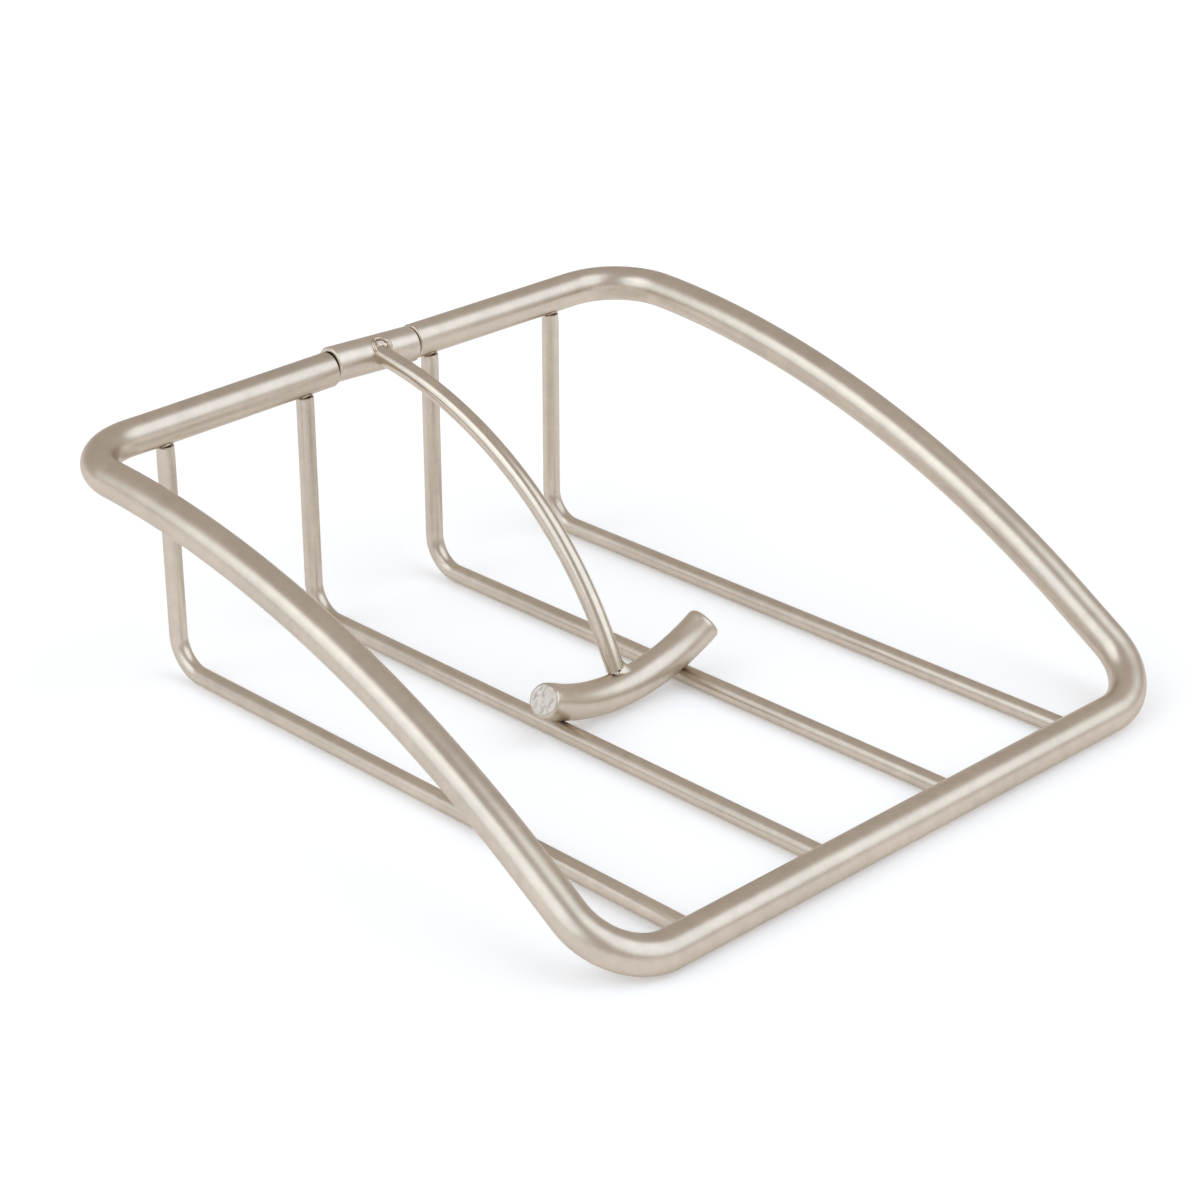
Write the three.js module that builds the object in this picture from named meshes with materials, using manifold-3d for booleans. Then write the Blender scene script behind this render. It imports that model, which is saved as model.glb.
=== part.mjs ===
// Flat napkin holder with a swinging weighted arm, all in satin nickel plated steel.
//
// One 9.5 mm round bar is bent at four corners into a rectangular hoop. Its two
// ends meet at the middle of the raised back rail, where a short sleeve turns on
// an inner pin. A bow shaped arm is welded to the sleeve and carries a curved
// weight bar that lies across the two middle bed wires. Four L shaped wires hang
// from the back rail and run forward to the front rail: they are the back stop
// and the bed for the napkins.
//
// Frame: millimetres, +Z up, X along the rails, +Y towards the raised back rail.
// The origin is on the table, below the middle of the bounding box.

import * as THREE from "three";
import { mergeVertices } from "three/addons/utils/BufferGeometryUtils.js";
import Module from "manifold-3d";

// ---- driving dimensions ----------------------------------------------------
const RAIL_D = 9.5; // hoop bar
const WIRE_D = 5.0; // bed wires and arm
const HALF_W = 93.75; // hoop axis to the middle plane
const DEPTH = 193.5; // front rail axis to back rail axis
const RISE = 65.5; // back rail axis above front rail axis
const FRONT_BEND = 17.0; // bend radii of the hoop on its axis
const BACK_BEND = 18.5;
const FRONT_SLOPE = (32.5 * Math.PI) / 180; // side rail at the front corner
const BACK_SLOPE = (2.5 * Math.PI) / 180; // side rail at the back corner
const FRONT_STRAIGHT = 28.0; // horizontal length of the straight part at the front

const SLEEVE_D = 9.8;
const SLEEVE_BORE = 6.7;
const SLEEVE_X0 = -10.9; // the sleeve sits a little to the right of the middle plane
const SLEEVE_X1 = 15.9;
const SLEEVE_GAP = 0.45; // running gap at each end of the sleeve

const PIN_D = 6.5;
const PIN_DEPTH = 14.0; // how far the pin goes into each bar end
const SOCKET_D = 6.8; // blind hole in each bar end
const SOCKET_DEPTH = 14.6;

const WIRE_X = [-66.3, -22.0, 22.0, 66.3];
const WIRE_BEND = 9.0; // on the wire's axis
const WIRE_TOP_LEAN = -1.5; // the uprights lean: y of the top, from the back rail axis
const WIRE_FOOT_LEAN = 0.6; // y of the upright at the bed, from the back rail axis
const NECK_GAP = 0.9; // wire top to the underside of the back rail, filled by the weld neck
const NECK_R = 1.75;

const ARM_X = 0.45; // where the arm meets the weight bar
const ARM_ROOT_X = 3.0; // where the arm meets the sleeve: it leans slightly sideways
const ARM_ROOT_Y = -4.0; // from the back rail axis
const ARM_ROOT_Z = 1.2; // and above it
const ARM_START = (5.4 * Math.PI) / 180; // downward angle where it leaves the sleeve
const ARM_R0 = 133.9; // bow radius at the sleeve
const ARM_R1 = 88.3; // and at the weight bar: the bow tightens evenly along the arm

const BAR_D = 9.3;
const BAR_R = 50.5; // bow radius of the weight bar, ends up
const BAR_LEFT = 28.9; // its length along the bow, each way from the arm
const BAR_RIGHT = 31.1;
const BAR_LEAN = (-10 * Math.PI) / 180; // its plane leans back from vertical
const BAR_ROCK = (0.5 * Math.PI) / 180; // right end slightly higher, square on both wires
const BAR_Z = 5.65; // middle of the bar above the table

const CLEAR = 0.3; // gap between solids that are welded or pressed together

// ---- derived ---------------------------------------------------------------
const RR = RAIL_D / 2;
const WR = WIRE_D / 2;
const SR = SLEEVE_D / 2;
const Y_FRONT = -DEPTH / 2 - (SR - RR) / 2; // keeps the bounding box centred on Y
const Y_BACK = Y_FRONT + DEPTH;
const Z_FRONT = RR;
const Z_BACK = Z_FRONT + RISE;
const V = (x, y, z) => new THREE.Vector3(x, y, z);

// ---- finish ----------------------------------------------------------------
const nickel = () =>
  new THREE.MeshStandardMaterial({
    color: 0xc4b9a9,
    roughness: 0.34,
    metalness: 1.0,
  });
const bareSteel = () =>
  new THREE.MeshStandardMaterial({
    color: 0x9a9894,
    roughness: 0.3,
    metalness: 1.0,
  });
const weldMetal = () =>
  new THREE.MeshStandardMaterial({
    color: 0xbcb09f,
    roughness: 0.42,
    metalness: 1.0,
  });

// ---- swept bars ------------------------------------------------------------
// A path given by its stations. The section's second axis is kept in the plane
// of the up vector, so a flat of the section always faces straight down.
class StationPath extends THREE.Curve {
  constructor(points, up) {
    super();
    this.points = points;
    this.up = up;
  }
  getPoint(t, target = new THREE.Vector3()) {
    const n = this.points.length - 1;
    const i = Math.min(n - 1, Math.floor(t * n));
    return target.lerpVectors(this.points[i], this.points[i + 1], t * n - i);
  }
  getSpacedPoints() {
    return this.points.map((p) => p.clone());
  }
  computeFrenetFrames() {
    const P = this.points;
    const tangents = [],
      normals = [],
      binormals = [];
    P.forEach((p, i) => {
      const a = P[Math.max(0, i - 1)],
        b = P[Math.min(P.length - 1, i + 1)];
      const before = p.clone().sub(a).normalize();
      const after = b.clone().sub(p).normalize();
      const t = (
        i === 0 ? after : i === P.length - 1 ? before : before.add(after)
      )
        .clone()
        .normalize();
      const side = new THREE.Vector3().crossVectors(this.up, t).normalize();
      const lift = new THREE.Vector3().crossVectors(t, side).normalize();
      tangents.push(t);
      normals.push(side);
      binormals.push(lift);
    });
    return { tangents, normals, binormals };
  }
}

// A regular polygon with flats square to both section axes, on a circle of that radius.
function section(radius, sides) {
  const s = new THREE.Shape();
  for (let i = 0; i < sides; i++) {
    const a = ((i + 0.5) * 2 * Math.PI) / sides;
    const r = radius / Math.cos(Math.PI / sides);
    if (i === 0) s.moveTo(r * Math.cos(a), r * Math.sin(a));
    else s.lineTo(r * Math.cos(a), r * Math.sin(a));
  }
  s.closePath();
  return s;
}

function sweep(points, radius, sides, up = V(0, 0, 1)) {
  const path = new StationPath(points, up);
  return new THREE.ExtrudeGeometry(section(radius, sides), {
    steps: points.length - 1,
    bevelEnabled: false,
    extrudePath: path,
  });
}

// Points round a fillet of radius r between the legs a-b and b-c.
function bend(a, b, c, r, n) {
  const u = a.clone().sub(b).normalize();
  const v = c.clone().sub(b).normalize();
  const angle = u.angleTo(v);
  const back = r / Math.tan(angle / 2);
  const p0 = b.clone().addScaledVector(u, back);
  const p1 = b.clone().addScaledVector(v, back);
  const bis = u.clone().add(v).normalize();
  const centre = b.clone().addScaledVector(bis, r / Math.sin(angle / 2));
  const e0 = p0.clone().sub(centre),
    e1 = p1.clone().sub(centre);
  const turn = e0.angleTo(e1);
  const out = [];
  for (let i = 0; i <= n; i++) {
    const t = i / n;
    out.push(
      centre
        .clone()
        .addScaledVector(e0, Math.sin((1 - t) * turn) / Math.sin(turn))
        .addScaledVector(e1, Math.sin(t * turn) / Math.sin(turn)),
    );
  }
  return out;
}

// ---- solids and booleans ---------------------------------------------------
const wasm = await Module();
wasm.setup();

function toSolid(geometry, matrix) {
  let g = geometry.index ? geometry.toNonIndexed() : geometry.clone();
  if (matrix) g.applyMatrix4(matrix);
  g.deleteAttribute("normal");
  g.deleteAttribute("uv");
  g = mergeVertices(g, 1e-4);
  return new wasm.Manifold(
    new wasm.Mesh({
      numProp: 3,
      vertProperties: new Float32Array(g.attributes.position.array),
      triVerts: new Uint32Array(g.index.array),
    }),
  );
}

function toGeometry(solid) {
  const m = solid.getMesh();
  const positions = new Float32Array(m.numVert * 3);
  for (let i = 0; i < m.numVert; i++)
    positions.set(
      m.vertProperties.subarray(i * m.numProp, i * m.numProp + 3),
      i * 3,
    );
  const g = new THREE.BufferGeometry();
  g.setAttribute("position", new THREE.BufferAttribute(positions, 3));
  g.setIndex(new THREE.BufferAttribute(new Uint32Array(m.triVerts), 1));
  g.computeVertexNormals();
  return g;
}

// A round bar from a to b.
function rod(a, b, radius, sides) {
  const g = new THREE.CylinderGeometry(
    radius,
    radius,
    a.distanceTo(b),
    sides,
    1,
  );
  const q = new THREE.Quaternion().setFromUnitVectors(
    V(0, 1, 0),
    b.clone().sub(a).normalize(),
  );
  const m = new THREE.Matrix4().compose(
    a.clone().add(b).multiplyScalar(0.5),
    q,
    V(1, 1, 1),
  );
  return g.applyMatrix4(m);
}

const group = new THREE.Group();
group.name = "napkin_holder";
function add(name, geometry, material) {
  const mesh = new THREE.Mesh(geometry, material);
  mesh.name = name;
  group.add(mesh);
  return mesh;
}

// ---- the hoop --------------------------------------------------------------
// Side rail seen from the side: straight up from the front corner, then one long
// bow that flattens out to the back corner.
const sf = FRONT_SLOPE,
  sb = BACK_SLOPE;
const SIDE_R =
  (RISE -
    FRONT_STRAIGHT * Math.tan(sf) -
    (DEPTH - FRONT_STRAIGHT) * Math.tan(sb)) /
  (Math.cos(sb) - Math.cos(sf) - (Math.sin(sf) - Math.sin(sb)) * Math.tan(sb));
function sideProfile(n) {
  const out = [];
  for (let i = 0; i <= n; i++) {
    const a = sb + ((sf - sb) * i) / n; // from the back to the front
    out.push([
      Y_FRONT + FRONT_STRAIGHT + SIDE_R * (Math.sin(sf) - Math.sin(a)),
      Z_FRONT +
        FRONT_STRAIGHT * Math.tan(sf) +
        SIDE_R * (Math.cos(a) - Math.cos(sf)),
    ]);
  }
  return out;
}
// Points inside the reach of the corner bends are left out.
const profile = sideProfile(14).filter(([y]) => y < Y_BACK - BACK_BEND - 4);

function halfHoop(s, xEnd) {
  const x = s * HALF_W;
  const backCorner = V(x, Y_BACK, Z_BACK);
  const frontCorner = V(x, Y_FRONT, Z_FRONT);
  const bow = profile.map(([y, z]) => V(x, y, z));
  return [
    V(xEnd, Y_BACK, Z_BACK),
    ...bend(V(xEnd, Y_BACK, Z_BACK), backCorner, bow[0], BACK_BEND, 10),
    ...bow,
    ...bend(
      bow[bow.length - 1],
      frontCorner,
      V(0, Y_FRONT, Z_FRONT),
      FRONT_BEND,
      10,
    ),
  ];
}
const endL = SLEEVE_X0 - SLEEVE_GAP;
const endR = SLEEVE_X1 + SLEEVE_GAP;
const hoopPath = [...halfHoop(-1, endL), ...halfHoop(1, endR).reverse()];
let hoop = toSolid(sweep(hoopPath, RR, 20));
for (const [x, s] of [
  [endL, -1],
  [endR, 1],
]) {
  const socket = rod(
    V(x - s * 1, Y_BACK, Z_BACK),
    V(x + s * SOCKET_DEPTH, Y_BACK, Z_BACK),
    SOCKET_D / 2,
    20,
  );
  hoop = hoop.subtract(toSolid(socket));
}
add("frame_hoop", toGeometry(hoop), nickel());

// ---- pivot: inner pin and the sleeve that turns on it ------------------------
add(
  "pivot_pin",
  rod(
    V(endL - PIN_DEPTH, Y_BACK, Z_BACK),
    V(endR + PIN_DEPTH, Y_BACK, Z_BACK),
    PIN_D / 2,
    20,
  ),
  bareSteel(),
);

// Ring turned about the X axis, with its outer edges broken by a small chamfer.
const sleeveProfile = [
  [SLEEVE_BORE / 2, SLEEVE_X0],
  [SR - 0.35, SLEEVE_X0],
  [SR, SLEEVE_X0 + 0.35],
  [SR, SLEEVE_X1 - 0.35],
  [SR - 0.35, SLEEVE_X1],
  [SLEEVE_BORE / 2, SLEEVE_X1],
  [SLEEVE_BORE / 2, SLEEVE_X0],
].map(([r, x]) => new THREE.Vector2(r, x));
const sleeveGeometry = new THREE.LatheGeometry(sleeveProfile, 28);
sleeveGeometry.applyMatrix4(
  new THREE.Matrix4().makeRotationZ(-Math.PI / 2), // the lathe's +Y axis becomes +X
);
sleeveGeometry.applyMatrix4(
  new THREE.Matrix4().makeTranslation(0, Y_BACK, Z_BACK),
);
add("pivot_sleeve", sleeveGeometry, nickel());

// ---- bed wires ---------------------------------------------------------------
const WZ = WR; // the bed wires lie on the table with the front rail
const topY = Y_BACK + WIRE_TOP_LEAN;
const footY = Y_BACK + WIRE_FOOT_LEAN;
const underRail =
  Z_BACK - Math.sqrt(RR * RR - WIRE_TOP_LEAN * WIRE_TOP_LEAN);
const wireTopZ = underRail - NECK_GAP;

// Cutters: the rails grown by the clearance.
const frontCutter = toSolid(
  rod(
    V(-HALF_W, Y_FRONT, Z_FRONT),
    V(HALF_W, Y_FRONT, Z_FRONT),
    RR + CLEAR,
    40,
  ),
);
const backCutter = toSolid(
  rod(V(-HALF_W, Y_BACK, Z_BACK), V(HALF_W, Y_BACK, Z_BACK), RR + CLEAR, 40),
);

WIRE_X.forEach((x, i) => {
  const n = i + 1;
  const top = V(x, topY, wireTopZ);
  const corner = V(x, footY, WZ);
  const front = V(x, Y_FRONT + 2.5, WZ);
  const path = [top, ...bend(top, corner, front, WIRE_BEND, 8), front];
  const wire = toSolid(sweep(path, WR, 12, V(1, 0, 0))).subtract(frontCutter);
  add("bed_wire_" + n, toGeometry(wire), nickel());

  // The weld neck under the back rail, thinner than the wire.
  const up = top
    .clone()
    .sub(bend(top, corner, front, WIRE_BEND, 8)[0])
    .normalize();
  const neck = toSolid(
    rod(
      top.clone().addScaledVector(up, CLEAR),
      top.clone().addScaledVector(up, NECK_GAP + 1.5),
      NECK_R,
      14,
    ),
  ).subtract(backCutter);
  add("neck_weld_" + n, toGeometry(neck), weldMetal());

  // The weld flash round the wire's front end, against the front rail.
  const yFace = Y_FRONT + Math.sqrt(RR * RR - (Z_FRONT - WZ) ** 2);
  const ring = toSolid(
    rod(V(x, yFace - 2.5, WZ), V(x, yFace + 1.35, WZ), WR + 0.85, 18),
  )
    .subtract(
      toSolid(rod(V(x, yFace - 6, WZ), V(x, yFace + 6, WZ), WR + CLEAR, 18)),
    )
    .subtract(frontCutter);
  // Kept above the table and only where the wire meets the rail's back.
  const keep = toSolid(
    new THREE.BoxGeometry(20, 12, 12).translate(x, yFace + 4.2, 6.3),
  );
  const parts = ring.intersect(keep).decompose();
  parts.sort((a, b) => b.volume() - a.volume());
  add("bed_weld_" + n, toGeometry(parts[0]), weldMetal());
});

// ---- arm ---------------------------------------------------------------------
// Followed in small steps down to the height of the weight bar's middle.
const FINE = 0.05;
const ARM_NOMINAL = 120.4;
const fine = [[ARM_ROOT_Y, ARM_ROOT_Z + Z_BACK]];
for (let k = 1; fine[fine.length - 1][1] > BAR_Z; k++) {
  const l = (k - 0.5) * FINE;
  const a =
    ARM_START +
    l / ARM_R0 +
    ((1 / ARM_R1 - 1 / ARM_R0) * l * l) / (2 * ARM_NOMINAL);
  const [y, z] = fine[fine.length - 1];
  fine.push([y - FINE * Math.cos(a), z - FINE * Math.sin(a)]);
}
const ARM_STEPS = 22;
const armPts = [];
for (let i = 0; i <= ARM_STEPS; i++) {
  const [y, z] = fine[Math.round(((fine.length - 1) * i) / ARM_STEPS)];
  const x = ARM_ROOT_X + ((ARM_X - ARM_ROOT_X) * i) / ARM_STEPS;
  armPts.push(V(x, Y_BACK + y, z));
}
const armEnd = armPts[armPts.length - 1];
const armEndDir = armEnd
  .clone()
  .sub(armPts[armPts.length - 2])
  .normalize();
const armStartDir = armPts[1].clone().sub(armPts[0]).normalize();

// ---- weight bar -----------------------------------------------------------------
const barPts = [];
const BAR_STEPS = 16;
for (let i = 0; i <= BAR_STEPS; i++) {
  const s = -BAR_LEFT + ((BAR_LEFT + BAR_RIGHT) * i) / BAR_STEPS;
  const u = BAR_R * Math.sin(s / BAR_R);
  const v = BAR_R * (1 - Math.cos(s / BAR_R));
  const h = v * Math.cos(BAR_ROCK) + u * Math.sin(BAR_ROCK);
  barPts.push(
    V(
      ARM_X + u * Math.cos(BAR_ROCK) - v * Math.sin(BAR_ROCK),
      armEnd.y + h * Math.sin(BAR_LEAN),
      armEnd.z + h * Math.cos(BAR_LEAN),
    ),
  );
}
const barUp = V(0, Math.sin(BAR_LEAN), Math.cos(BAR_LEAN));
const barSolid = toSolid(sweep(barPts, BAR_D / 2, 20, barUp));
add("weight_bar", toGeometry(barSolid), nickel());

const barCutter = toSolid(sweep(barPts, BAR_D / 2 + CLEAR, 28, barUp));
const sleeveCutter = toSolid(
  rod(
    V(SLEEVE_X0 - 5, Y_BACK, Z_BACK),
    V(SLEEVE_X1 + 5, Y_BACK, Z_BACK),
    SR + CLEAR,
    40,
  ),
);
const armStart = armPts[0].clone().addScaledVector(armStartDir, -4);
const arm = toSolid(sweep([armStart, ...armPts], WR, 14, V(1, 0, 0)))
  .subtract(sleeveCutter)
  .subtract(barCutter);
add("arm_rod", toGeometry(arm), nickel());

// Weld beads: collars round the arm where it meets the sleeve and the bar.
const armCutter = toSolid(
  sweep([armStart, ...armPts], WR + CLEAR, 20, V(1, 0, 0)),
);
function collar(name, centre, dir, length, outer, cutter) {
  const q = new THREE.Quaternion().setFromUnitVectors(V(0, 1, 0), dir);
  const bead = new THREE.SphereGeometry(1, 24, 16);
  bead.applyMatrix4(
    new THREE.Matrix4().compose(centre, q, V(outer, length / 2, outer)),
  );
  const solid = toSolid(bead)
    .subtract(armCutter)
    .subtract(cutter);
  const parts = solid.decompose();
  parts.sort((p, r) => r.volume() - p.volume());
  add(name, toGeometry(parts[0]), weldMetal());
}
collar(
  "arm_weld_sleeve",
  V(ARM_ROOT_X, Y_BACK - 4.6, Z_BACK + 1.6),
  armStartDir,
  5.2,
  3.7,
  sleeveCutter,
);
const nearBar = armEnd.clone().addScaledVector(armEndDir, -4.6);
collar("arm_weld_bar", nearBar, armEndDir, 4.6, 3.9, barCutter);

export default group;
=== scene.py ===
import math

import bpy
import numpy as np
from mathutils import Matrix, Vector, noise


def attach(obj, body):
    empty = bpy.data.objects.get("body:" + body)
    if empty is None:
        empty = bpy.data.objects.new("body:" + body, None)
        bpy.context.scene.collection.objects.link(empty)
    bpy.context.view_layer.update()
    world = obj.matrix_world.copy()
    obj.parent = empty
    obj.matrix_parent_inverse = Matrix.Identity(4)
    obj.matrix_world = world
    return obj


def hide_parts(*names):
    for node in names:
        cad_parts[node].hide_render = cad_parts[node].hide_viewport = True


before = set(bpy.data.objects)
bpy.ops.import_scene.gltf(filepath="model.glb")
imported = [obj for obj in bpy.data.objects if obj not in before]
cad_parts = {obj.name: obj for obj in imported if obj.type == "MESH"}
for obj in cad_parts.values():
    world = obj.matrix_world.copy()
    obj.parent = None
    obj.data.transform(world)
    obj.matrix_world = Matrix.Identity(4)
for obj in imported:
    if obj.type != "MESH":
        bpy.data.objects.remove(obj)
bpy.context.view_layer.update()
MM = 0.001

# ---------------------------------------------------------------------------
# Dimensions, in millimetres. They repeat the CAD's and add the fine detail.
# ---------------------------------------------------------------------------
RAIL_R, WIRE_R, SLEEVE_R, BAR_R_SECTION = 4.75, 2.4, 4.9, 4.65
HALF_W, DEPTH, RISE = 93.75, 193.5, 65.5
FRONT_BEND, BACK_BEND = 17.0, 18.5
SF, SB = math.radians(32.5), math.radians(2.5)
FRONT_STRAIGHT = 28.0
Y_FRONT = -DEPTH / 2 - (SLEEVE_R - RAIL_R) / 2
Y_BACK = Y_FRONT + DEPTH
Z_FRONT, Z_BACK = RAIL_R, RAIL_R + RISE
SLEEVE_X0, SLEEVE_X1, SLEEVE_GAP = -10.9, 16.25, 0.45
PIN_R, SOCKET_R = 2.5, 3.4
WIRE_X = (-66.3, -22.0, 22.0, 66.3)
WIRE_BEND, WIRE_TOP_LEAN, WIRE_FOOT_LEAN = 9.0, -1.5, 0.6
ARM_X, ARM_ROOT_X, ARM_ROOT_Y, ARM_ROOT_Z = 0.45, 3.0, -4.0, 1.2
ARM_START, ARM_R0, ARM_R1, ARM_NOMINAL = math.radians(5.4), 133.9, 88.3, 120.4
BAR_BOW, BAR_LEFT, BAR_RIGHT, BAR_Z = 50.5, 28.9, 31.5, 5.45
BAR_LEAN, BAR_ROCK = math.radians(-10), math.radians(0.7)


# ---------------------------------------------------------------------------
# Mesh helpers
# ---------------------------------------------------------------------------
def v3(x, y, z):
    return np.array([x, y, z], float)


def unit(a):
    return a / np.linalg.norm(a)


def make_object(name, verts, faces, uvs=None, smooth_angle=40.0):
    """verts in millimetres; uvs is one (u, v) list per face, in metres along and around."""
    me = bpy.data.meshes.new(name)
    me.from_pydata([tuple(c * MM for c in p) for p in verts], [], faces)
    me.update()
    if uvs is not None:
        layer = me.uv_layers.new(name="metal_uv")
        flat = [c for face in uvs for uv in face for c in uv]
        layer.data.foreach_set("uv", flat)
    ob = bpy.data.objects.new(name, me)
    bpy.context.scene.collection.objects.link(ob)
    for p in me.polygons:
        p.use_smooth = True
    limit = math.radians(smooth_angle)
    sharp = np.zeros(len(me.edges), bool)
    lookup = {tuple(sorted(e.vertices)): i for i, e in enumerate(me.edges)}
    seen = {}
    for p in me.polygons:
        for k in p.edge_keys:
            seen.setdefault(tuple(sorted(k)), []).append(p.normal.copy())
    for k, ns in seen.items():
        if len(ns) == 2 and ns[0].length > 0 and ns[1].length > 0:
            if ns[0].angle(ns[1], 0.0) > limit:
                sharp[lookup[k]] = True
    attr = me.attributes.get("sharp_edge") or me.attributes.new(
        "sharp_edge", "BOOLEAN", "EDGE"
    )
    attr.data.foreach_set("value", sharp)
    return ob


def frames(points, up):
    """Tangents and two section axes along a path, without twist."""
    P = np.array(points, float)
    t = np.zeros_like(P)
    seg = P[1:] - P[:-1]
    seg /= np.linalg.norm(seg, axis=1)[:, None]
    t[0], t[-1] = seg[0], seg[-1]
    mid = seg[:-1] + seg[1:]
    t[1:-1] = mid / np.linalg.norm(mid, axis=1)[:, None]
    side = np.cross(np.array(up, float), t)
    side /= np.linalg.norm(side, axis=1)[:, None]
    lift = np.cross(t, side)
    return P, t, side, lift


def lengths(P):
    return np.concatenate([[0], np.cumsum(np.linalg.norm(P[1:] - P[:-1], axis=1))])


def swept(name, points, radius, sides=56, up=(0, 0, 1), start=None, end=None,
          shape=None, uv_offset=0.0):
    """A closed bar along a path. start and end are end profiles, from the bar's
    side to its middle: lists of (distance out past the last station, radius).
    shape(s, angle, r) may change a point's radius."""
    P, t, side, lift = frames(points, up)
    L = lengths(P)
    rows = []  # (centre, side, lift, radius, length along)
    start = start or [(0.0, 0.0)]
    end = end or [(0.0, 0.0)]
    for out, r in reversed(start):
        rows.append((P[0] - t[0] * out, side[0], lift[0], r, -out - (radius - r)))
    for i in range(len(P)):
        rows.append((P[i], side[i], lift[i], radius, L[i]))
    for out, r in end:
        rows.append((P[-1] + t[-1] * out, side[-1], lift[-1], r, L[-1] + out + (radius - r)))
    verts, ring_ids = [], []
    for c, s, l, r, length in rows:
        if r <= 1e-9:
            ring_ids.append([len(verts)])
            verts.append(c)
            continue
        ids = []
        for k in range(sides):
            a = 2 * math.pi * k / sides
            rr = shape(length, a, r) if shape else r
            ids.append(len(verts))
            verts.append(c + s * (rr * math.cos(a)) + l * (rr * math.sin(a)))
        ring_ids.append(ids)
    faces, uvs = [], []
    for i in range(len(rows) - 1):
        A, B = ring_ids[i], ring_ids[i + 1]
        ua, ub = (rows[i][4] + uv_offset) * MM, (rows[i + 1][4] + uv_offset) * MM
        for k in range(sides):
            k2 = (k + 1) % sides
            va, vb = radius * MM * 2 * math.pi * k / sides, radius * MM * 2 * math.pi * (k + 1) / sides
            if len(A) == 1 and len(B) == 1:
                continue
            if len(A) == 1:
                faces.append((A[0], B[k2], B[k]))
                uvs.append(((ua, va), (ub, vb), (ub, va)))
            elif len(B) == 1:
                faces.append((A[k], A[k2], B[0]))
                uvs.append(((ua, va), (ua, vb), (ub, va)))
            else:
                faces.append((A[k], A[k2], B[k2], B[k]))
                uvs.append(((ua, va), (ua, vb), (ub, vb), (ub, va)))
    # outward: side x lift = tangent, so the loop order above faces outward
    ob = make_object(name, verts, faces, uvs)
    return ob


def turned(name, profile, axis_point, axis, sides=64):
    """A closed ring or disc turned about an axis: profile is (along, radius), closed."""
    axis = unit(np.array(axis, float))
    ref = v3(0, 0, 1) if abs(axis[2]) < 0.9 else v3(0, 1, 0)
    s = unit(np.cross(ref, axis))
    l = np.cross(axis, s)
    verts, faces, uvs = [], [], []
    n = len(profile)
    run = [0.0]
    for i in range(n):
        a, b = profile[i], profile[(i + 1) % n]
        run.append(run[-1] + math.dist(a, b))
    for h, r in profile:
        for k in range(sides):
            a = 2 * math.pi * k / sides
            verts.append(np.array(axis_point) + axis * h + s * (r * math.cos(a)) + l * (r * math.sin(a)))
    for i in range(n):
        j = (i + 1) % n
        for k in range(sides):
            k2 = (k + 1) % sides
            faces.append((i * sides + k, i * sides + k2, j * sides + k2, j * sides + k))
            va, vb = profile[i][1] * MM * 2 * math.pi * k / sides, profile[i][1] * MM * 2 * math.pi * (k + 1) / sides
            uvs.append(((run[i] * MM, va), (run[i] * MM, vb), (run[i + 1] * MM, vb), (run[i + 1] * MM, va)))
    ob = make_object(name, verts, faces, uvs)
    return ob


def outward(ob):
    """Turns the faces outward if the signed volume says they are inside out."""
    me = ob.data
    vol = 0.0
    co = [v.co for v in me.vertices]
    for p in me.polygons:
        ids = p.vertices
        for i in range(1, len(ids) - 1):
            vol += co[ids[0]].dot(co[ids[i]].cross(co[ids[i + 1]]))
    if vol < 0:
        me.flip_normals()
        me.update()
    return ob


def fillet(a, b, c, r, n):
    a, b, c = map(lambda p: np.array(p, float), (a, b, c))
    u, w = unit(a - b), unit(c - b)
    ang = math.acos(float(np.dot(u, w)))
    back = r / math.tan(ang / 2)
    p0, p1 = b + u * back, b + w * back
    centre = b + unit(u + w) * (r / math.sin(ang / 2))
    e0, e1 = p0 - centre, p1 - centre
    turn = math.acos(float(np.dot(unit(e0), unit(e1))))
    return [
        centre + e0 * (math.sin((1 - i / n) * turn) / math.sin(turn)) + e1 * (math.sin(i / n * turn) / math.sin(turn))
        for i in range(n + 1)
    ]


def straight(a, b, step):
    a, b = np.array(a, float), np.array(b, float)
    n = max(1, int(np.linalg.norm(b - a) / step))
    return [a + (b - a) * i / n for i in range(n)]


def fill_in(points, step):
    """Adds stations where neighbours are further apart than step."""
    out = []
    for a, b in zip(points[:-1], points[1:]):
        out += straight(a, b, step)
    out.append(np.array(points[-1], float))
    return out


def round_edge(radius, edge, n=6, face=(0.75, 0.5, 0.25)):
    """End profile of a bar: a rounded rim, then the flat face to the middle."""
    prof = []
    for i in range(1, n + 1):
        a = math.pi / 2 * i / n
        prof.append((edge * math.sin(a), radius - edge * (1 - math.cos(a))))
    for f in face:
        prof.append((edge, (radius - edge) * f))
    prof.append((edge, 0.0))
    return prof


# ---------------------------------------------------------------------------
# Materials
# ---------------------------------------------------------------------------
def node(nt, kind, loc=(0, 0), **props):
    nd = nt.nodes.new(kind)
    nd.location = loc
    for k, val in props.items():
        setattr(nd, k, val)
    return nd


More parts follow.
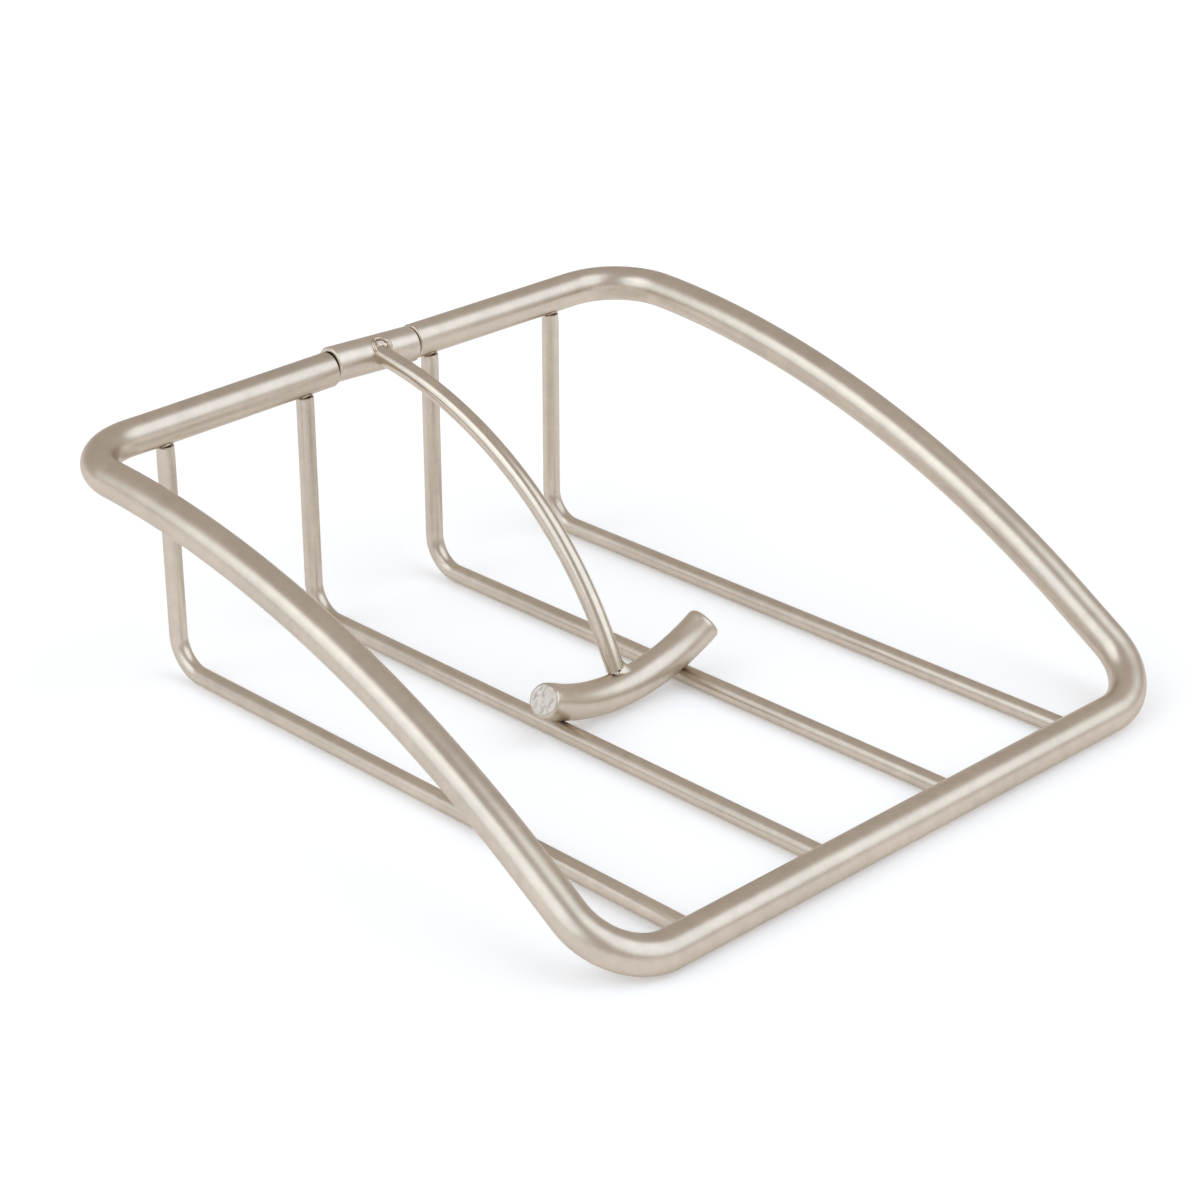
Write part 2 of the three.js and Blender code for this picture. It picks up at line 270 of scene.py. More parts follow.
def satin_nickel(name, base, rough=(0.25, 0.34), grain=1.0, streak=1.0, tint=0.0, seed=0.0,
                 lumps=0.0):
    """Satin nickel plate: a fine blasted grain, faint drawn lines along the bar,
    slow changes of tone and gloss, and a little dullness in patches."""
    m = bpy.data.materials.new(name)
    m.use_nodes = True
    nt = m.node_tree
    nt.nodes.clear()
    out = node(nt, "ShaderNodeOutputMaterial", (900, 0))
    bsdf = node(nt, "ShaderNodeBsdfPrincipled", (600, 0))
    nt.links.new(bsdf.outputs[0], out.inputs[0])
    bsdf.inputs["Metallic"].default_value = 1.0
    bsdf.inputs["Specular Tint"].default_value = (0.86, 0.81, 0.76, 1.0)
    bsdf.inputs["Anisotropic"].default_value = 0.0

    tc = node(nt, "ShaderNodeTexCoord", (-1500, 0))
    off = node(nt, "ShaderNodeVectorMath", (-1300, -200), operation="ADD")
    off.inputs[1].default_value = (seed, seed * 0.37, -seed * 0.61)
    nt.links.new(tc.outputs["Object"], off.inputs[0])

    # drawn lines: noise stretched along the bar
    stretch = node(nt, "ShaderNodeMapping", (-1300, 200))
    stretch.inputs["Scale"].default_value = (22.0, 2600.0, 1.0)
    stretch.inputs["Location"].default_value = (seed, seed, 0)
    nt.links.new(tc.outputs["UV"], stretch.inputs["Vector"])
    lines = node(nt, "ShaderNodeTexNoise", (-1050, 200))
    lines.inputs["Scale"].default_value = 1.0
    lines.inputs["Detail"].default_value = 3.0
    lines.inputs["Roughness"].default_value = 0.6
    nt.links.new(stretch.outputs[0], lines.inputs["Vector"])

    # blasted grain
    fine = node(nt, "ShaderNodeTexNoise", (-1050, -50))
    fine.inputs["Scale"].default_value = 5200.0
    fine.inputs["Detail"].default_value = 2.0
    nt.links.new(off.outputs[0], fine.inputs["Vector"])
    # slow change of tone along the bars
    slow = node(nt, "ShaderNodeTexNoise", (-1050, -300))
    slow.inputs["Scale"].default_value = 26.0
    slow.inputs["Detail"].default_value = 3.0
    nt.links.new(off.outputs[0], slow.inputs["Vector"])
    # small stains and dull spots
    spots = node(nt, "ShaderNodeTexNoise", (-1050, -550))
    spots.inputs["Scale"].default_value = 240.0
    spots.inputs["Detail"].default_value = 4.0
    spots.inputs["Roughness"].default_value = 0.65
    nt.links.new(off.outputs[0], spots.inputs["Vector"])

    # colour
    ramp = node(nt, "ShaderNodeValToRGB", (-700, -300))
    dark = tuple(c * 0.93 for c in base)
    ramp.color_ramp.elements[0].position = 0.3
    ramp.color_ramp.elements[0].color = (*dark, 1)
    ramp.color_ramp.elements[1].position = 0.7
    ramp.color_ramp.elements[1].color = (*[min(1, c * 1.05) for c in base], 1)
    nt.links.new(slow.outputs["Fac"], ramp.inputs[0])
    spot_ramp = node(nt, "ShaderNodeMapRange", (-700, -550))
    spot_ramp.inputs["From Min"].default_value = 0.25
    spot_ramp.inputs["From Max"].default_value = 0.75
    spot_ramp.inputs["To Min"].default_value = 0.9
    spot_ramp.inputs["To Max"].default_value = 1.06
    nt.links.new(spots.outputs["Fac"], spot_ramp.inputs["Value"])
    mul = node(nt, "ShaderNodeVectorMath", (-400, -300), operation="SCALE")
    nt.links.new(ramp.outputs[0], mul.inputs[0])
    nt.links.new(spot_ramp.outputs[0], mul.inputs["Scale"])
    last = mul.outputs[0]
    if tint > 0:
        # heat tint beside a weld: straw brown in uneven patches
        mixc = node(nt, "ShaderNodeMix", (-150, -300), data_type="RGBA")
        mixc.inputs["B"].default_value = (base[0] * 0.55, base[1] * 0.45, base[2] * 0.34, 1)
        heat = node(nt, "ShaderNodeMapRange", (-400, -600))
        heat.inputs["From Min"].default_value = 0.48
        heat.inputs["From Max"].default_value = 0.72
        heat.inputs["To Max"].default_value = tint
        nt.links.new(spots.outputs["Fac"], heat.inputs["Value"])
        nt.links.new(heat.outputs[0], mixc.inputs["Factor"])
        nt.links.new(last, mixc.inputs["A"])
        last = mixc.outputs["Result"]
    nt.links.new(last, bsdf.inputs["Base Color"])

    # roughness from the slow field and the lines
    rmix = node(nt, "ShaderNodeMath", (-700, 50), operation="MULTIPLY_ADD")
    nt.links.new(lines.outputs["Fac"], rmix.inputs[0])
    rmix.inputs[1].default_value = 0.45 * streak
    nt.links.new(slow.outputs["Fac"], rmix.inputs[2])
    rr = node(nt, "ShaderNodeMapRange", (-400, 50))
    rr.inputs["From Min"].default_value = 0.35
    rr.inputs["From Max"].default_value = 0.95
    rr.inputs["To Min"].default_value = rough[0]
    rr.inputs["To Max"].default_value = rough[1]
    nt.links.new(rmix.outputs[0], rr.inputs["Value"])
    nt.links.new(rr.outputs[0], bsdf.inputs["Roughness"])

    # bump: lines, then grain, then lumps on weld metal
    b1 = node(nt, "ShaderNodeBump", (0, 300))
    b1.inputs["Strength"].default_value = 0.10 * streak
    b1.inputs["Distance"].default_value = 0.00006
    nt.links.new(lines.outputs["Fac"], b1.inputs["Height"])
    b2 = node(nt, "ShaderNodeBump", (200, 300))
    b2.inputs["Strength"].default_value = 0.12 * grain
    b2.inputs["Distance"].default_value = 0.00004
    nt.links.new(fine.outputs["Fac"], b2.inputs["Height"])
    nt.links.new(b1.outputs[0], b2.inputs["Normal"])
    normal = b2.outputs[0]
    if lumps > 0:
        big = node(nt, "ShaderNodeTexNoise", (-300, 550))
        big.inputs["Scale"].default_value = 900.0
        big.inputs["Detail"].default_value = 3.0
        nt.links.new(off.outputs[0], big.inputs["Vector"])
        b3 = node(nt, "ShaderNodeBump", (400, 400))
        b3.inputs["Strength"].default_value = 0.6 * lumps
        b3.inputs["Distance"].default_value = 0.0004
        nt.links.new(big.outputs["Fac"], b3.inputs["Height"])
        nt.links.new(normal, b3.inputs["Normal"])
        normal = b3.outputs[0]
    nt.links.new(normal, bsdf.inputs["Normal"])
    return m


NICKEL = (0.605, 0.523, 0.43)
mat_rail = satin_nickel("satin_nickel_rail", NICKEL, seed=1.3)
mat_wire = satin_nickel("satin_nickel_wire", NICKEL, rough=(0.22, 0.32), streak=1.6, seed=4.1)
mat_arm = satin_nickel("satin_nickel_arm", NICKEL, rough=(0.13, 0.21), streak=1.4, seed=7.7)
mat_sleeve = satin_nickel("satin_nickel_sleeve", (0.63, 0.548, 0.46), rough=(0.27, 0.36), streak=0.7, seed=2.9)
mat_bar = satin_nickel("satin_nickel_bar", (0.615, 0.533, 0.44), rough=(0.28, 0.36), streak=0.9, seed=5.5)
mat_weld = satin_nickel("weld_nickel", (0.585, 0.50, 0.41), rough=(0.2, 0.36), streak=0.0, tint=0.75, seed=9.2, lumps=0.8)
mat_cut = satin_nickel("sheared_end_nickel", (0.57, 0.51, 0.44), rough=(0.26, 0.44), streak=0.0, grain=1.5, seed=3.3, lumps=0.5)
# Near-black material. It is painted shade in the recess under the arm's root, and a dark spot beside the arm's foot.
mat_burn_and_painted_shade = satin_nickel("weld_burn_and_painted_shade", (0.17, 0.115, 0.08), rough=(0.3, 0.5), streak=0.0, seed=8.8, lumps=1.0)
mat_pin = satin_nickel("pin_steel", (0.42, 0.41, 0.40), rough=(0.25, 0.35), seed=6.1)


def dress(ob, mat, body, slot, *nodes):
    ob.data.materials.clear()
    ob.data.materials.append(mat)
    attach(ob, body)
    if nodes:
        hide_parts(*nodes)
    return ob


# ---------------------------------------------------------------------------
# The hoop
# ---------------------------------------------------------------------------
SIDE_R = (RISE - FRONT_STRAIGHT * math.tan(SF) - (DEPTH - FRONT_STRAIGHT) * math.tan(SB)) / (
    math.cos(SB) - math.cos(SF) - (math.sin(SF) - math.sin(SB)) * math.tan(SB)
)


def side_profile(n):
    out = []
    for i in range(n + 1):
        a = SB + (SF - SB) * i / n
        y = Y_FRONT + FRONT_STRAIGHT + SIDE_R * (math.sin(SF) - math.sin(a))
        z = Z_FRONT + FRONT_STRAIGHT * math.tan(SF) + SIDE_R * (math.cos(a) - math.cos(SF))
        if y < Y_BACK - BACK_BEND - 1.5:
            out.append((y, z))
    return out


profile = side_profile(64)


def crown(x):
    """The two halves of the back rail rise very slightly towards the sleeve."""
    d = abs(x - 2.5)
    if d < 75.0:
        return 0.15 - 0.55 * d / 75.0
    return -0.40 + 0.25 * min(1.0, (d - 75.0) / 18.0)


def lifted(p):
    w = min(1.0, max(0.0, (p[1] - Y_BACK + 45.0) / 45.0))
    return v3(p[0], p[1], p[2] + crown(p[0]) * w * w * (3 - 2 * w))


def half_hoop(s, x_end):
    x = s * HALF_W
    bow = [v3(x, y, z) for y, z in profile]
    back = v3(x, Y_BACK, Z_BACK)
    front = v3(x, Y_FRONT, Z_FRONT)
    pts = [v3(x_end, Y_BACK, Z_BACK)]
    pts += fillet(v3(x_end, Y_BACK, Z_BACK), back, bow[0], BACK_BEND, 28)
    pts += bow
    pts += fillet(bow[-1], front, v3(0, Y_FRONT, Z_FRONT), FRONT_BEND, 28)
    return pts


end_l, end_r = SLEEVE_X0 - SLEEVE_GAP, SLEEVE_X1 + SLEEVE_GAP
EDGE = 0.55
left, right = half_hoop(-1, end_l - EDGE), half_hoop(1, end_r + EDGE)
hoop_pts = [lifted(p) for p in fill_in(left + right[::-1], 6.0)]


def socket_end(radius):
    prof = []
    for i in range(1, 6):
        a = math.pi / 2 * i / 5
        prof.append((EDGE * math.sin(a), radius - EDGE * (1 - math.cos(a))))
    prof += [(EDGE, SOCKET_R + 0.12), (EDGE - 0.12, SOCKET_R), (-5.0, SOCKET_R), (-5.0, 0.0)]
    return prof


hoop = swept("hoop_bar", hoop_pts, RAIL_R, sides=64, start=socket_end(RAIL_R), end=socket_end(RAIL_R))
outward(hoop)
dress(hoop, mat_rail, "frame", "satin_nickel", "frame_hoop")

# ---------------------------------------------------------------------------
# Pin and sleeve
# ---------------------------------------------------------------------------
pin = swept(
    "inner_pin",
    [v3(end_l - 4.6, Y_BACK, Z_BACK + 0.08), v3(0, Y_BACK, Z_BACK + 0.12), v3(end_r + 4.6, Y_BACK, Z_BACK + 0.08)],
    PIN_R,
    sides=48,
    start=round_edge(PIN_R, 0.4, 3),
    end=round_edge(PIN_R, 0.4, 3),
)
outward(pin)
dress(pin, mat_pin, "frame", "pin_steel", "pivot_pin")

BORE = 3.55
LIP_0, LIP_1 = SLEEVE_X0 - 0.25, SLEEVE_X1 + 0.05
c = 0.42
sleeve_profile = [
    (LIP_0 + 0.25, BORE),
    (LIP_0, BORE + 0.25),
    (LIP_0, SLEEVE_R - c),
    (LIP_0 + 0.06, SLEEVE_R - c * 0.62),
    (LIP_0 + 0.18, SLEEVE_R - c * 0.28),
    (LIP_0 + 0.36, SLEEVE_R - c * 0.06),
    (LIP_0 + 0.6, SLEEVE_R),
    (0.0, SLEEVE_R),
    (10.0, SLEEVE_R),
    (LIP_1 - 0.6, SLEEVE_R),
    (LIP_1 - 0.36, SLEEVE_R - c * 0.06),
    (LIP_1 - 0.18, SLEEVE_R - c * 0.28),
    (LIP_1 - 0.06, SLEEVE_R - c * 0.62),
    (LIP_1, SLEEVE_R - c),
    (LIP_1, BORE + 0.25),
    (LIP_1 - 0.25, BORE),
]
sleeve = turned("turning_sleeve", sleeve_profile, v3(0, Y_BACK, Z_BACK), (1, 0, 0), sides=72)
outward(sleeve)
# The loose sleeve sits askew on its pin, left end high.
COCK = math.radians(2.8)
pivot = Vector(((SLEEVE_X0 + SLEEVE_X1) / 2 * MM, Y_BACK * MM, (Z_BACK + 0.12) * MM))
raised = Matrix.Translation((0, 0, 0.33 * MM))
askew = raised @ Matrix.Translation(pivot) @ Matrix.Rotation(math.radians(-0.5), 4, "Z") @ Matrix.Rotation(COCK, 4, "Y") @ Matrix.Translation(-pivot)
sleeve.data.transform(askew)
sleeve.data.update()
dress(sleeve, mat_sleeve, "arm", "satin_nickel", "pivot_sleeve")

# ---------------------------------------------------------------------------
# Bed wires
# ---------------------------------------------------------------------------
WZ = 2.5
top_y, foot_y = Y_BACK + WIRE_TOP_LEAN, Y_BACK + WIRE_FOOT_LEAN
under = Z_BACK - math.sqrt(RAIL_R**2 - WIRE_TOP_LEAN**2)
front_face = Y_FRONT + math.sqrt(RAIL_R**2 - (Z_FRONT - WZ) ** 2)


def bump_field(p, scale, seed):
    return noise.noise(Vector((p[0] * scale + seed, p[1] * scale, p[2] * scale)))


for i, x in enumerate(WIRE_X):
    n = i + 1
    # tops are nipped in by the weld, each a little differently
    nip = (0.13, 0.08, 0.10, 0.15)[i]
    reach = (3.0, 1.6, 2.2, 3.0)[i]
    top = v3(x, top_y, under - 0.03 + crown(x))
    corner = v3(x, foot_y, WZ)
    end = v3(x, front_face - 0.3, WZ)
    pts = [top] + fillet(top, corner, end, WIRE_BEND, 22) + [end]
    pts = fill_in(pts, 5.0)
    # stations close together near the top
    down = unit(pts[1] - pts[0])
    near = [top + down * d for d in (0.0, 0.35, 0.8, 1.4, 2.1, 2.9, 3.8)]
    pts = near + [p for p in pts[1:] if np.linalg.norm(p - top) > 4.6]
    # the second upright stands a little further in than its foot at the front
    drift = (0.0, 0.8, -0.15, 0.0)[i]
    pts = [v3(p[0] + drift * min(1.0, (p[1] - Y_FRONT) / DEPTH), p[1], p[2]) for p in pts]

    def top_shape(length, a, r, nip=nip, reach=reach, seed=n * 3.7):
        if length < -0.01:
            return r - nip * 0.9
        if length > reach:
            return r
        f = 1 - length / reach
        f = f * f * (3 - 2 * f)
        wob = 0.06 * noise.noise(Vector((math.cos(a) * 1.3 + seed, math.sin(a) * 1.3, length)))
        return r - nip * f * (1 + 0.35 * math.cos(2 * a)) + wob * f

    edge = 0.17
    start = [(edge * 0.5, WIRE_R - edge * 0.3), (edge * 0.85, WIRE_R - edge * 0.7), (edge, WIRE_R - edge * 1.2), (edge, 1.0), (edge, 0.0)]
    wire = swept(
        "bed_wire_round_%d" % n,
        pts,
        WIRE_R,
        sides=40,
        up=(1, 0, 0),
        start=start,
        end=[(0.0, 1.2), (0.0, 0.0)],
        shape=top_shape,
        uv_offset=n * 310.0,
    )
    outward(wire)
    dress(wire, mat_wire, "frame", "satin_nickel", "bed_wire_%d" % n)


# ---------------------------------------------------------------------------
# Weld metal
# ---------------------------------------------------------------------------
def blob(name, centre, ax, radii, seed, rough=0.12, seg=40, rings=24, bite=None):
    """A lumpy bead: an ellipsoid in the axes ax, with uneven radius."""
    ax = [unit(np.array(a, float)) for a in ax]
    verts, faces, uvs = [], [], []
    ids = []
    for j in range(rings + 1):
        th = math.pi * j / rings
        row = []
        if j in (0, rings):
            row = [len(verts)]
            d = (0, 0, math.cos(th))
            verts.append(np.array(centre) + ax[2] * radii[2] * d[2])
        else:
            for k in range(seg):
                ph = 2 * math.pi * k / seg
                d = (math.sin(th) * math.cos(ph), math.sin(th) * math.sin(ph), math.cos(th))
                f = 1 + rough * noise.noise(Vector((d[0] * 1.7 + seed, d[1] * 1.7, d[2] * 1.7)))
                f += rough * 0.5 * noise.noise(Vector((d[0] * 4.1 + seed, d[1] * 4.1, d[2] * 4.1)))
                p = np.array(centre) + (ax[0] * radii[0] * d[0] + ax[1] * radii[1] * d[1] + ax[2] * radii[2] * d[2]) * f
                if bite:
                    p = bite(p)
                row.append(len(verts))
                verts.append(p)
        ids.append(row)
    for j in range(rings):
        A, B = ids[j], ids[j + 1]
        for k in range(seg):
            k2 = (k + 1) % seg
            if len(A) == 1:
                faces.append((A[0], B[k], B[k2]))
                uvs.append(((0, 0), (0, 0), (0, 0)))
            elif len(B) == 1:
                faces.append((A[k], B[0], A[k2]))
                uvs.append(((0, 0), (0, 0), (0, 0)))
            else:
                faces.append((A[k], B[k], B[k2], A[k2]))
                uvs.append(((0, 0),) * 4)
    return outward(make_object(name, verts, faces, uvs, smooth_angle=60))


def flash_ring(name, path_fn, thick_fn, seg=96, sides=14, seed=0.0):
    """A closed ring of weld flash along path_fn(angle), with its own thickness."""
    C = [path_fn(2 * math.pi * i / seg) for i in range(seg)]
    verts, faces, uvs = [], [], []
    mid = sum(C) / seg
    for i in range(seg):
        t = unit(C[(i + 1) % seg] - C[i - 1])
        o = C[i] - mid
        o = unit(o - t * np.dot(o, t))
        b = np.cross(t, o)
        r = thick_fn(2 * math.pi * i / seg)
        for k in range(sides):
            a = 2 * math.pi * k / sides
            f = 1 + 0.10 * noise.noise(Vector((math.cos(a) + seed, math.sin(a), i * 0.21)))
            verts.append(C[i] + (o * math.cos(a) + b * math.sin(a)) * r * f)
    for i in range(seg):
        j = (i + 1) % seg
        for k in range(sides):
            k2 = (k + 1) % sides
            faces.append((i * sides + k, i * sides + k2, j * sides + k2, j * sides + k))
            uvs.append(((0, 0),) * 4)
    return outward(make_object(name, verts, faces, uvs, smooth_angle=60))


for i, x in enumerate(WIRE_X):
    n = i + 1

    # weld nugget between the wire's top and the back rail
    def neck_path(a, x=x + (0.0, 0.8, -0.15, 0.0)[i]):
        px = x + 1.55 * math.cos(a)
        py = top_y + 1.5 * math.sin(a)
        dy = py - Y_BACK
        return v3(px, py, Z_BACK - math.sqrt(RAIL_R**2 - dy * dy) - 0.10 + crown(px))

    ring = flash_ring("wire_top_weld_%d" % n, neck_path, lambda a, n=n: 0.26 + 0.05 * math.sin(3 * a + n), seed=n * 1.9, sides=12, seg=64)
    dress(ring, mat_weld, "frame", "weld", "neck_weld_%d" % n)

    # fillet where the wire meets the back of the front rail
    def foot_path(a, x=x):
        px = x + (WIRE_R + 0.12) * math.cos(a)
        pz = WZ + (WIRE_R + 0.12) * math.sin(a)
        dz = pz - Z_FRONT
        return v3(px, Y_FRONT + math.sqrt(max(0.0, RAIL_R**2 - dz * dz)) + 0.05, max(pz, 0.55))

    ring = flash_ring("wire_foot_weld_%d" % n, foot_path, lambda a, n=n: 0.42 + 0.1 * math.sin(2 * a + n * 1.3) + 0.05 * math.sin(7 * a), seed=n * 2.3 + 11, sides=14, seg=72)
    dress(ring, mat_weld, "frame", "weld", "bed_weld_%d" % n)

# ---------------------------------------------------------------------------
# Arm and weight bar
# ---------------------------------------------------------------------------
fine = [np.array([ARM_ROOT_Y, ARM_ROOT_Z + Z_BACK])]
step = 0.05
k = 1
while fine[-1][1] > BAR_Z:
    l = (k - 0.5) * step
    a = ARM_START + l / ARM_R0 + (1 / ARM_R1 - 1 / ARM_R0) * l * l / (2 * ARM_NOMINAL)
    fine.append(fine[-1] - step * np.array([math.cos(a), math.sin(a)]))
    k += 1
count = 72
arm_pts = [v3(ARM_ROOT_X + (ARM_X - ARM_ROOT_X) * i / count, Y_BACK + fine[round((len(fine) - 1) * i / count)][0], fine[round((len(fine) - 1) * i / count)][1]) for i in range(count + 1)]
arm_end = arm_pts[-1]
arm_dir = unit(arm_pts[-1] - arm_pts[-2])
arm_start_dir = unit(arm_pts[1] - arm_pts[0])

# the arm runs just into the sleeve's and the bar's metal
arm_path = [p for p in arm_pts if np.linalg.norm(p - arm_end) > BAR_R_SECTION - 0.8]
arm_path = [arm_pts[0] - arm_start_dir * 0.2] + arm_path[1:]
total = lengths(np.array(arm_path))[-1]


def arm_shape(length, a, r):
    if length < 0 or length > total:
        return r
    f = max(0.0, 1 - length / 2.6)
    g = max(0.0, 1 - (total - length) / 5.0)
    g = g * g * (3 - 2 * g)
    return r + 0.10 * f - 0.16 * g * (1 + 0.5 * math.cos(a))


arm = swept("arm_rod_round", arm_path, 2.5, sides=48, up=(1, 0, 0), start=[(0.15, 2.3), (0.2, 2.0), (0.2, 0.0)], end=[(0.0, 1.4), (0.0, 0.0)], shape=arm_shape)
outward(arm)
dress(arm, mat_arm, "arm", "satin_nickel", "arm_rod")

bar_pts = []
steps = 90
EDGE_L, EDGE_R = 0.7, 1.45
bar_s = [-(BAR_LEFT - EDGE_L) + (BAR_LEFT - EDGE_L + BAR_RIGHT - EDGE_R) * i / steps for i in range(steps + 1)]
for s in bar_s:
    u = BAR_BOW * math.sin(s / BAR_BOW)
    w = BAR_BOW * (1 - math.cos(s / BAR_BOW))
    h = w * math.cos(BAR_ROCK) + u * math.sin(BAR_ROCK)
    bar_pts.append(v3(ARM_X + u * math.cos(BAR_ROCK) - w * math.sin(BAR_ROCK), arm_end[1] + h * math.sin(BAR_LEAN), arm_end[2] + h * math.cos(BAR_LEAN)))
bar_up = (0, math.sin(BAR_LEAN), math.cos(BAR_LEAN))
bar_total = lengths(np.array(bar_pts))[-1]


def bar_shape(length, a, r):
    # the shears rolled the left end's upper side over and left the rim uneven
    part = r / BAR_R_SECTION
    f = max(0.0, 1 - (length + 1.0) / 5.0)
    f = f * f
    up = max(0.0, math.sin(a))
    r = r - 0.55 * f * up * part
    g = max(0.0, 1 - (length + 1.0) / 2.2)
    r -= part * g * 0.16 * (1 + noise.noise(Vector((math.cos(a) * 2.2, math.sin(a) * 2.2, 3.1))) * 1.6)
    return r


FACE = tuple(0.94 - 0.06 * i for i in range(15))
bar = swept("weight_bar_round", bar_pts, BAR_R_SECTION, sides=96, up=bar_up, start=round_edge(BAR_R_SECTION, EDGE_L, 8, FACE), end=round_edge(BAR_R_SECTION, EDGE_R, 10, FACE), shape=bar_shape)
outward(bar)
dress(bar, mat_bar, "arm", "satin_nickel", "weight_bar")
# sheared faces: torn metal, with a shallow step across
bar.data.materials.append(mat_cut)
t_l = unit(bar_pts[0] - bar_pts[1])
t_r = unit(bar_pts[-1] - bar_pts[-2])
for tip, t, e, deep in ((bar_pts[0], t_l, EDGE_L, 0.11), (bar_pts[-1], t_r, EDGE_R, 0.05)):
    for v in bar.data.vertices:
        p = np.array(v.co) / MM
        along = float(np.dot(p - tip, t))
        if along < e - 0.02:
            continue
        q = p - tip - t * along
        n1 = noise.noise(Vector((q[0] * 0.42, q[1] * 0.42 + 3.0, q[2] * 0.42)))
        n2 = noise.noise(Vector((q[0] * 1.3 + 5.0, q[1] * 1.3, q[2] * 1.3)))
        n3 = noise.noise(Vector((q[0] * 3.1 + 9.0, q[1] * 3.1, q[2] * 3.1)))
        edge_fade = min(1.0, max(0.0, (BAR_R_SECTION - e - np.linalg.norm(q)) / 0.5))
        d = deep * (1.6 * n1 + 0.6 * n2 + 0.22 * n3 - 0.2) * (0.35 + 0.65 * edge_fade)
        v.co = tuple((p + t * d) * MM)
    for poly in bar.data.polygons:
        c0 = np.array(poly.center) / MM
        along = float(np.dot(c0 - tip, t))
        if along > e * 0.8:
            poly.material_index = 1
bar.data.update()

# ---- flash of the arm's weld on the sleeve, and painted shade under the arm's root
root = arm_pts[0]
RING_ANG = 26.0


def on_sleeve(x, deg, out=0.0):
    a = math.radians(deg)
    r = SLEEVE_R + out
    return v3(x, Y_BACK - r * math.cos(a), Z_BACK + 0.12 + r * math.sin(a))


def root_path(a):
    # on the sleeve's surface round the arm, wider above than below
    w = 2.3 + 0.2 * math.sin(a) + 0.12 * math.sin(3 * a + 0.7) + 0.06 * math.sin(5 * a)
    return on_sleeve(ARM_ROOT_X + 0.5 + w * math.cos(a), RING_ANG + math.degrees(w * 1.5 * math.sin(a) / SLEEVE_R), -0.10 + 0.12 * math.sin(2 * a + 0.4))


def settle(ob):
    """Weld metal that sits on the askew sleeve goes with it."""
    ob.data.transform(askew)
    ob.data.update()
    return ob


out_n = unit(v3(0, -math.cos(math.radians(RING_ANG)), math.sin(math.radians(RING_ANG))))
up_n = unit(np.cross(v3(1, 0, 0), out_n))
root_ring = settle(flash_ring("arm_root_weld", root_path, lambda a: 0.62 + 0.14 * math.sin(a + 0.3) + 0.08 * math.sin(5 * a) + 0.05 * math.sin(8 * a + 1), seed=4.4, sides=20, seg=144))
dress(root_ring, mat_weld, "arm", "weld", "arm_weld_sleeve")
for tag, dx, deg, out, radii, seed, mat in (
    ("arm_root_nugget", 0.1, 43.0, 0.05, (0.95, 1.3, 0.6), 2.2, mat_sleeve),
    ("arm_root_nugget_2", 0.5, 27.0, -0.1, (1.9, 2.1, 0.6), 5.1, mat_sleeve),
    # painted shade: a near-black blob left of and under the arm's root, in the recess where shade falls
    ("arm_root_painted_shade", -2.0, 8.0, 0.1, (0.42, 1.0, 0.3), 6.6, mat_burn_and_painted_shade),
):
    b = settle(blob(tag, on_sleeve(ARM_ROOT_X + dx, deg, out), (v3(1, 0, 0), up_n, out_n), radii, seed, rough=0.35))
    dress(b, mat, "arm", "weld")

# ---- weld of the arm on the weight bar, and a dark spot beside its foot
foot = arm_end - arm_dir * (BAR_R_SECTION - 0.35)
ax_a = v3(1, 0, 0)
ax_b = unit(np.cross(arm_dir, ax_a))


def foot_fillet(name, seed):
    """A concave skirt of weld metal from the arm out onto the bar, wide on the right."""
    seg, rings = 96, 16
    verts, faces, uvs, ids = [], [], [], []

    def place(x, b, h):
        low = math.sqrt(max(0.2, BAR_R_SECTION**2 - b * b)) - BAR_R_SECTION
        bow = BAR_BOW * (1 - math.cos(x / BAR_BOW))
        return arm_end - arm_dir * (BAR_R_SECTION + low + h) + ax_a * x + ax_b * b + v3(0, bow * math.sin(BAR_LEAN), bow * math.cos(BAR_LEAN))

    ids.append([0])
    verts.append(place(0.0, 0.0, 0.4))
    for j in range(rings + 1):
        t = j / rings
        row = []
        for k in range(seg):
            a = 2 * math.pi * k / seg
            side = max(0.0, math.cos(a - 0.15)) ** 1.6
            n = noise.noise(Vector((math.cos(a) * 1.6 + seed, math.sin(a) * 1.6, t * 0.8)))
            up_h = 0.55 + 3.8 * side + 0.18 * n
            out_w = 0.72 + 3.1 * side + 0.22 * n
            r = 2.06 + out_w * (1 - math.cos(math.pi / 2 * t))
            h = up_h * (1 - math.sin(math.pi / 2 * t)) - 0.12 * t
            row.append(len(verts))
            verts.append(place(r * math.cos(a), r * math.sin(a) * (1.0 - 0.08 * t), h))
        ids.append(row)
    ids.append([len(verts)])
    verts.append(place(0.0, 0.0, -1.2))
    for j in range(len(ids) - 1):
        A, B = ids[j], ids[j + 1]
        for k in range(seg):
            k2 = (k + 1) % seg
            if len(A) == 1:
                faces.append((A[0], B[k], B[k2]))
                uvs.append(((0, 0),) * 3)
            elif len(B) == 1:
                faces.append((A[k], B[0], A[k2]))
                uvs.append(((0, 0),) * 3)
            else:
                faces.append((A[k], B[k], B[k2], A[k2]))
                uvs.append(((0, 0),) * 4)
    return outward(make_object(name, verts, faces, uvs, smooth_angle=70))


skirt = foot_fillet("arm_foot_weld", 3.3)
dress(skirt, mat_bar, "arm", "weld", "arm_weld_bar")
for tag, off_v, radii, seed, mat in (
    ("arm_foot_bead", -ax_a * 1.55 + ax_b * 2.25 - arm_dir * 0.35, (0.72, 0.66, 0.6), 4.8, mat_weld),
    # a near-black spot in the same dark material, left of the arm's foot on the bar
    ("arm_foot_dark_spot", -ax_a * 2.45 + ax_b * 1.55 - arm_dir * 0.1, (0.5, 0.5, 0.4), 2.7, mat_burn_and_painted_shade),
):
    b = blob(tag, foot + off_v, (ax_a, ax_b, arm_dir), radii, seed, rough=0.22)
    dress(b, mat, "arm", "weld")

